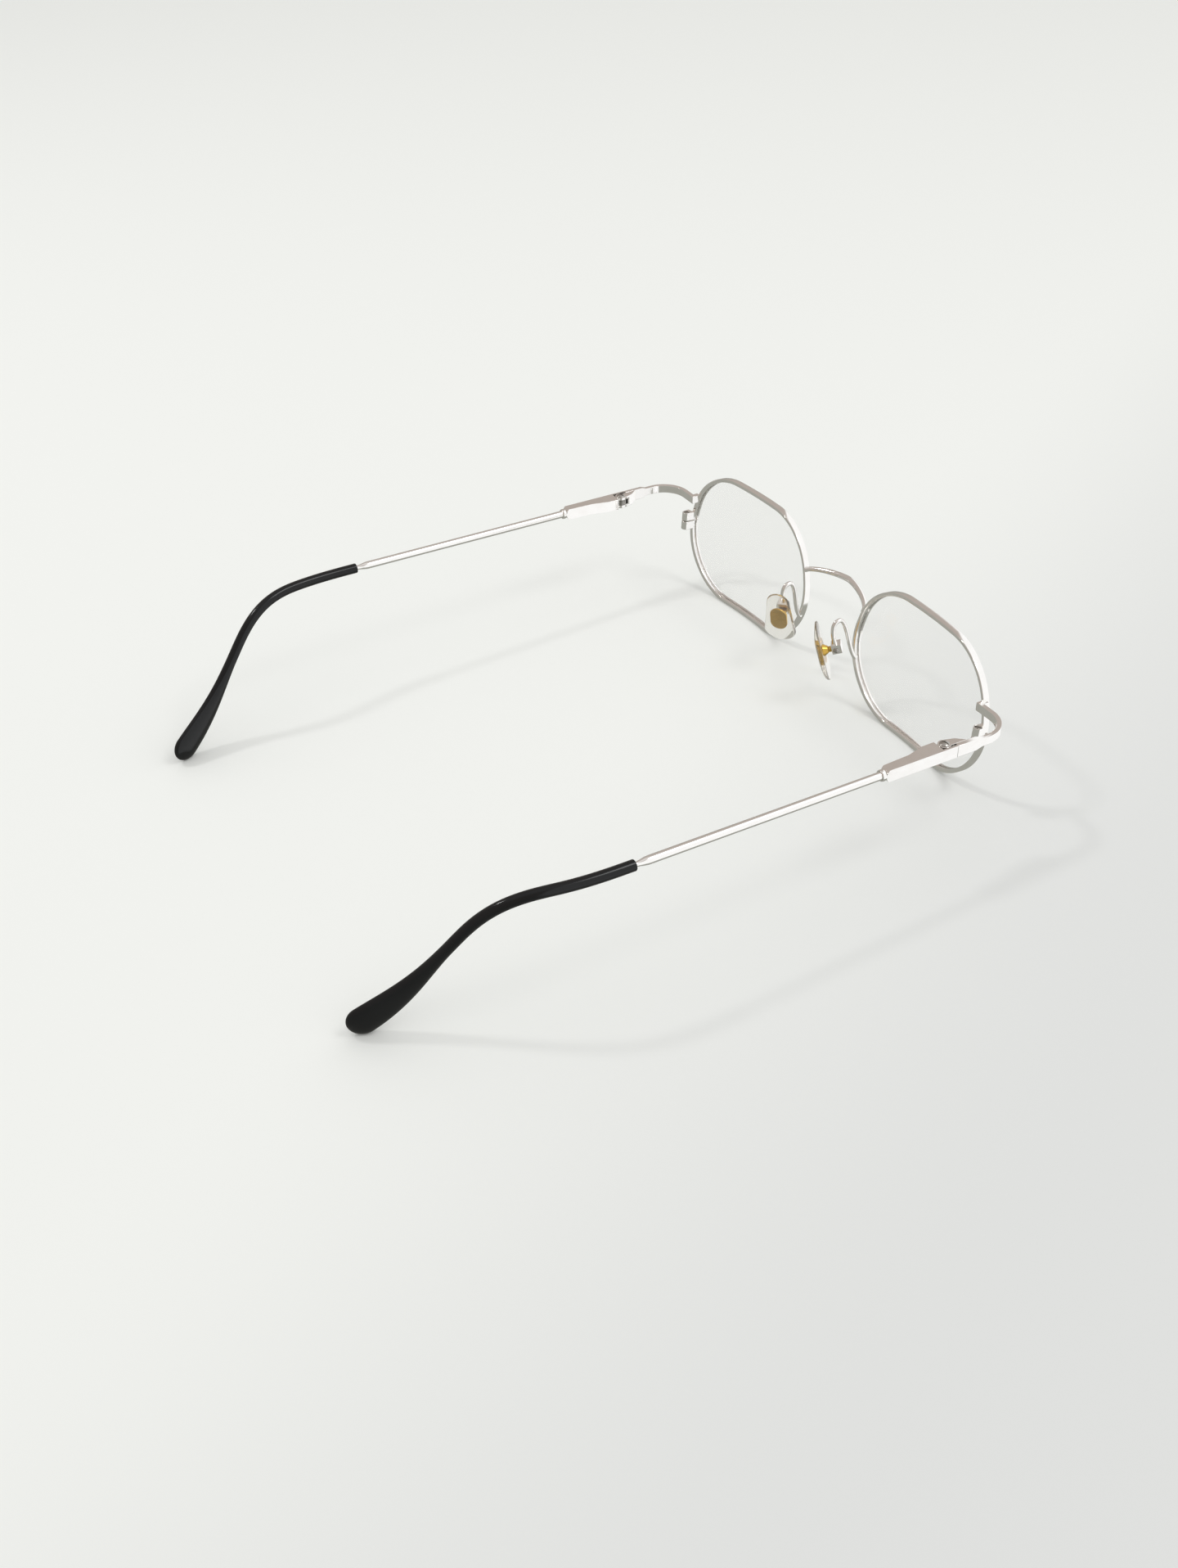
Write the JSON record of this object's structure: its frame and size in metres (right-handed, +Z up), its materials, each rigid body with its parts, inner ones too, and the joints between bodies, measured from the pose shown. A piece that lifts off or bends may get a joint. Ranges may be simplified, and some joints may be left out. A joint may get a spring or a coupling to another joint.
{
  "type": "eyeglasses",
  "caption": "Wire-rimmed eyeglasses with small rounded lenses, arched bridge, rocking nose pads and sprung folding temples with black tips.",
  "frame": {"origin": "on the ground under the middle of the open frame's bounding box", "axes": "+X towards the wearer's left, -Y out of the front, +Z up; the lenses face -Y and the temples run towards +Y"},
  "size_m": [0.1324, 0.151, 0.0328],
  "materials": {
    "frame_metal": "polished silver plating",
    "screw_steel": "polished steel",
    "slider_steel": "drawn steel",
    "bush_brass": "turned brass",
    "pad_gold": "gold plating",
    "tip_plastic": "polished black",
    "pad_clear": "clear soft plastic",
    "lens": "clear polished lens"
  },
  "bodies": {
    "front": {"bridge": "frame_metal", "left_rim": "frame_metal", "left_lens": "lens", "left_closing_block_upper": "frame_metal", "left_closing_block_lower": "frame_metal", "left_closing_screw": "screw_steel", "left_end_piece": "frame_metal", "left_hinge_front": "frame_metal", "left_hinge_screw": "screw_steel", "left_pad_arm": "frame_metal", "left_pad_box": "frame_metal", "left_pad_screw": "screw_steel", "right_rim": "frame_metal", "right_lens": "lens", "right_closing_block_upper": "frame_metal", "right_closing_block_lower": "frame_metal", "right_closing_screw": "screw_steel", "right_end_piece": "frame_metal", "right_hinge_front": "frame_metal", "right_hinge_screw": "screw_steel", "right_pad_arm": "frame_metal", "right_pad_box": "frame_metal", "right_pad_screw": "screw_steel"},
    "left_bush": {"left_hinge_bush": "bush_brass"},
    "left_slider": {"left_hinge_slider": "slider_steel", "left_hinge_spring": "slider_steel", "left_spring_stop": "bush_brass"},
    "left_temple": {"left_temple_box": "frame_metal", "left_temple_collar": "frame_metal", "left_temple_wire": "frame_metal", "left_temple_tip": "tip_plastic"},
    "left_pad": {"left_nose_pad": "pad_clear", "left_pad_insert": "pad_gold"},
    "right_bush": {"right_hinge_bush": "bush_brass"},
    "right_slider": {"right_hinge_slider": "slider_steel", "right_hinge_spring": "slider_steel", "right_spring_stop": "bush_brass"},
    "right_temple": {"right_temple_box": "frame_metal", "right_temple_collar": "frame_metal", "right_temple_wire": "frame_metal", "right_temple_tip": "tip_plastic"},
    "right_pad": {"right_nose_pad": "pad_clear", "right_pad_insert": "pad_gold"}
  },
  "joints": [
    {"name": "left_fold", "type": "hinge", "parent": "front", "child": "left_bush", "pos_m": [0.064, -0.05065, 0.0241], "axis": [0, -0.0419, 0.9991], "range_deg": [0, 90]},
    {"name": "left_flex", "type": "hinge", "parent": "left_bush", "child": "left_slider", "pos_m": [0.064, -0.05065, 0.0241], "axis": [0, -0.0419, 0.9991], "range_deg": [-10, 0], "stiffness_Nm_per_rad": 0.5},
    {"name": "left_spring_travel", "type": "slide", "parent": "left_slider", "child": "left_temple", "axis": [0, 0.9991, 0.0419], "range_m": [0, 0.00036], "deforming": ["left_hinge_spring"]},
    {"name": "left_pad_rock", "type": "hinge", "parent": "front", "child": "left_pad", "pos_m": [0.0105, -0.06375, 0.01503], "axis": [-0.7923, -0.6101, 0], "range_deg": [-10, 10]},
    {"name": "right_fold", "type": "hinge", "parent": "front", "child": "right_bush", "pos_m": [-0.064, -0.05065, 0.0241], "axis": [0, 0.0419, -0.9991], "range_deg": [0, 86]},
    {"name": "right_flex", "type": "hinge", "parent": "right_bush", "child": "right_slider", "pos_m": [-0.064, -0.05065, 0.0241], "axis": [0, 0.0419, -0.9991], "range_deg": [-10, 0], "stiffness_Nm_per_rad": 0.5},
    {"name": "right_spring_travel", "type": "slide", "parent": "right_slider", "child": "right_temple", "axis": [0, 0.9991, 0.0419], "range_m": [0, 0.00036], "deforming": ["right_hinge_spring"]},
    {"name": "right_pad_rock", "type": "hinge", "parent": "front", "child": "right_pad", "pos_m": [-0.0105, -0.06375, 0.01503], "axis": [-0.7923, 0.6101, 0], "range_deg": [-10, 10]}
  ],
  "couplings": [
    {"joint": "left_spring_travel", "follows": "left_flex", "m_per_rad": -0.002},
    {"joint": "right_spring_travel", "follows": "right_flex", "m_per_rad": -0.002}
  ]
}
